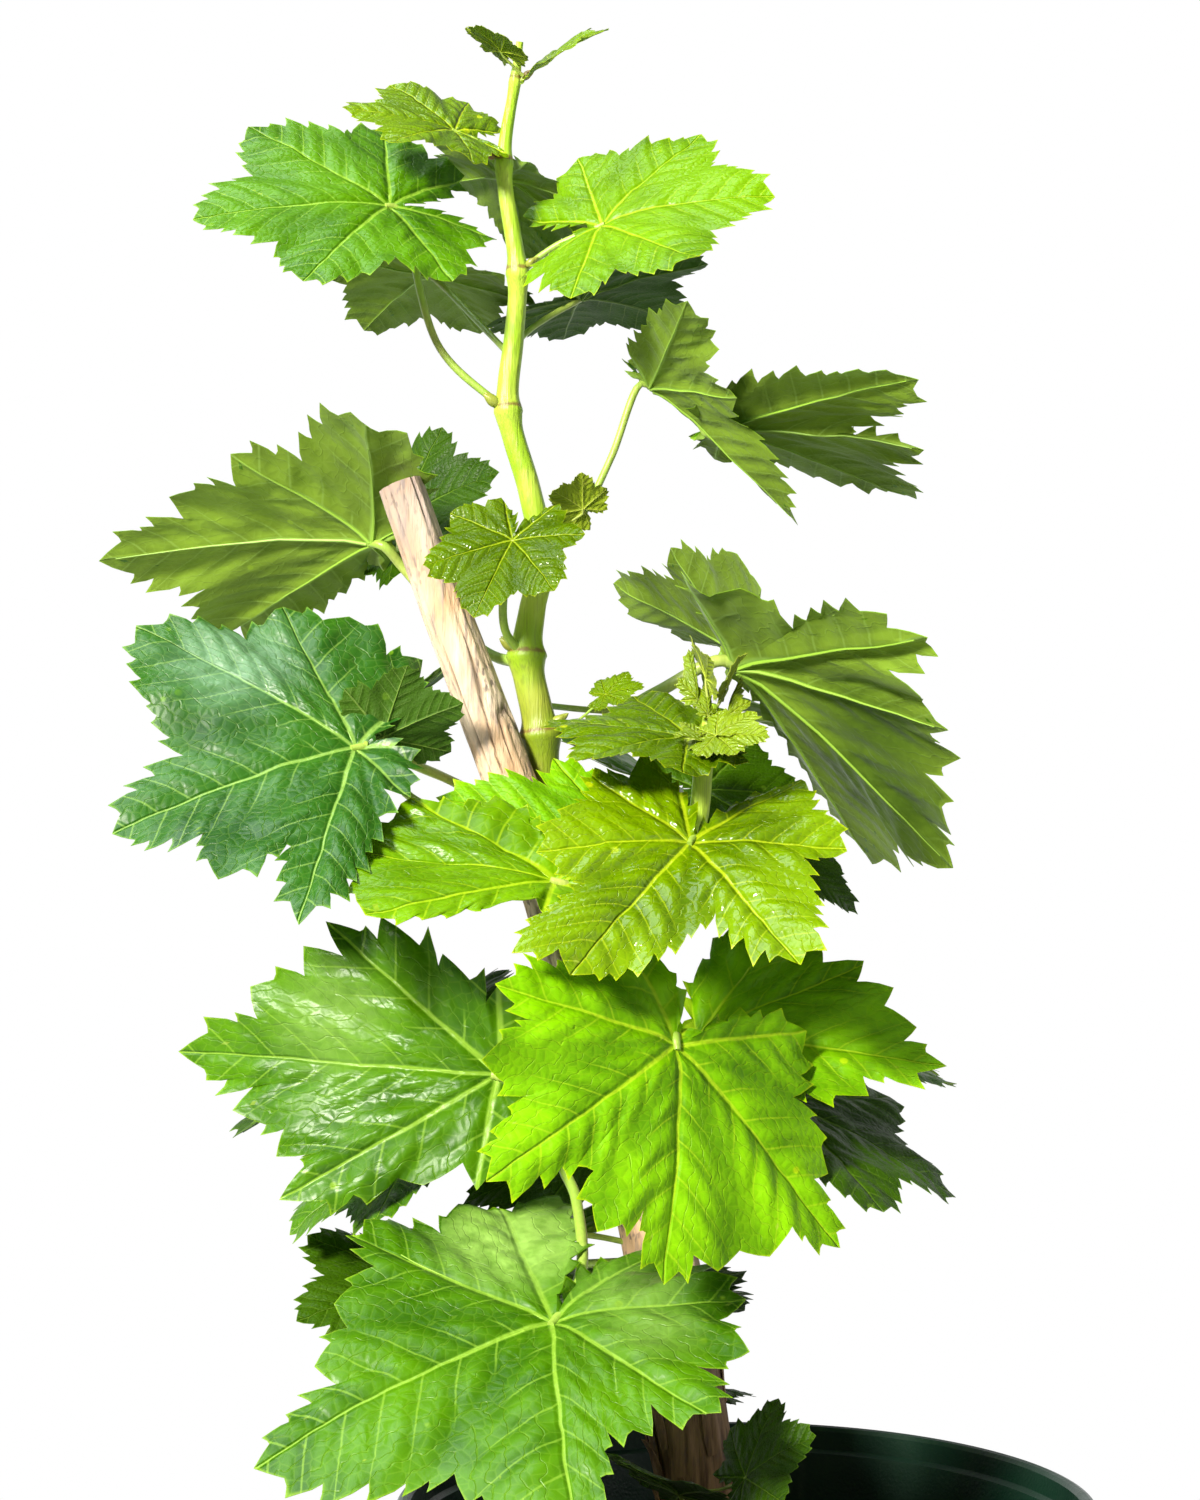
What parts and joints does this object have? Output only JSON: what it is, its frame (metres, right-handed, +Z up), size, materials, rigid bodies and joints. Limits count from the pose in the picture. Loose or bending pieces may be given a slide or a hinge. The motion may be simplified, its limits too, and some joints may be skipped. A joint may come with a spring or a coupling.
{
  "type": "potted grapevine",
  "caption": "Young grapevine in a round nursery pot: an old pruned trunk with green shoots and toothed, lobed leaves.",
  "frame": {"origin": "centre of the pot's flat underside", "axes": "+Z up along the trunk, -Y the front, +X to the viewer's right"},
  "size_m": [0.3576, 0.3125, 0.7107],
  "materials": {
    "pot_plastic": "dark green moulded plastic, semi-gloss",
    "potting_soil": "dark crumbly potting mix with bits of bark",
    "old_bark": "dry fibrous tan bark, flaking, with dark cracks",
    "green_shoot": "smooth green shoot with brown scars at its nodes",
    "leaf_young": "young yellow-green leaf, glossy, veins sunk in",
    "leaf_bright": "bright green leaf lit through, pale veins",
    "leaf_mid": "mid green leaf with a soft sheen and pale veins",
    "leaf_dark": "dark green leaf with a bluish sheen"
  },
  "bodies": {
    "root": {"pot": "pot_plastic", "potting_soil": "potting_soil", "trunk": "old_bark", "main_shoot": "green_shoot", "right_shoot": "green_shoot", "leaf_centre_top": "leaf_young", "leaf_centre_low": "leaf_bright", "leaf_right_low": "leaf_mid", "leaf_left_low": "leaf_mid", "leaf_front_base": "leaf_mid", "leaf_left_mid": "leaf_dark", "leaf_left_bright": "leaf_young", "leaf_behind_bright": "leaf_bright", "leaf_small_front": "leaf_young", "leaf_bud_upper": "leaf_young", "leaf_left_high": "leaf_mid", "leaf_right_mid": "leaf_mid", "leaf_right_high": "leaf_mid", "leaf_right_shade": "leaf_dark", "leaf_shade_centre": "leaf_dark", "leaf_shade_right": "leaf_dark", "leaf_left_under": "leaf_mid", "leaf_left_base": "leaf_dark", "leaf_shade_low": "leaf_dark", "leaf_rim_right": "leaf_dark", "leaf_rim_front": "leaf_dark", "leaf_shoot_young": "leaf_young", "shoot_apex": "leaf_young", "leaf_bud_right": "leaf_young", "leaf_top_left": "leaf_mid", "leaf_top_right": "leaf_bright", "leaf_top_back": "leaf_mid", "leaf_top_young": "leaf_young", "leaf_tip": "leaf_young", "leaf_back_01": "leaf_mid", "leaf_back_02": "leaf_dark", "leaf_back_03": "leaf_mid", "leaf_back_04": "leaf_dark", "leaf_back_05": "leaf_mid", "leaf_back_06": "leaf_mid", "leaf_back_07": "leaf_dark", "leaf_back_08": "leaf_mid", "leaf_back_09": "leaf_mid", "leaf_back_10": "leaf_dark", "leaf_back_11": "leaf_mid", "leaf_back_12": "leaf_dark", "leaf_back_13": "leaf_mid", "leaf_back_14": "leaf_dark"}
  },
  "joints": []
}
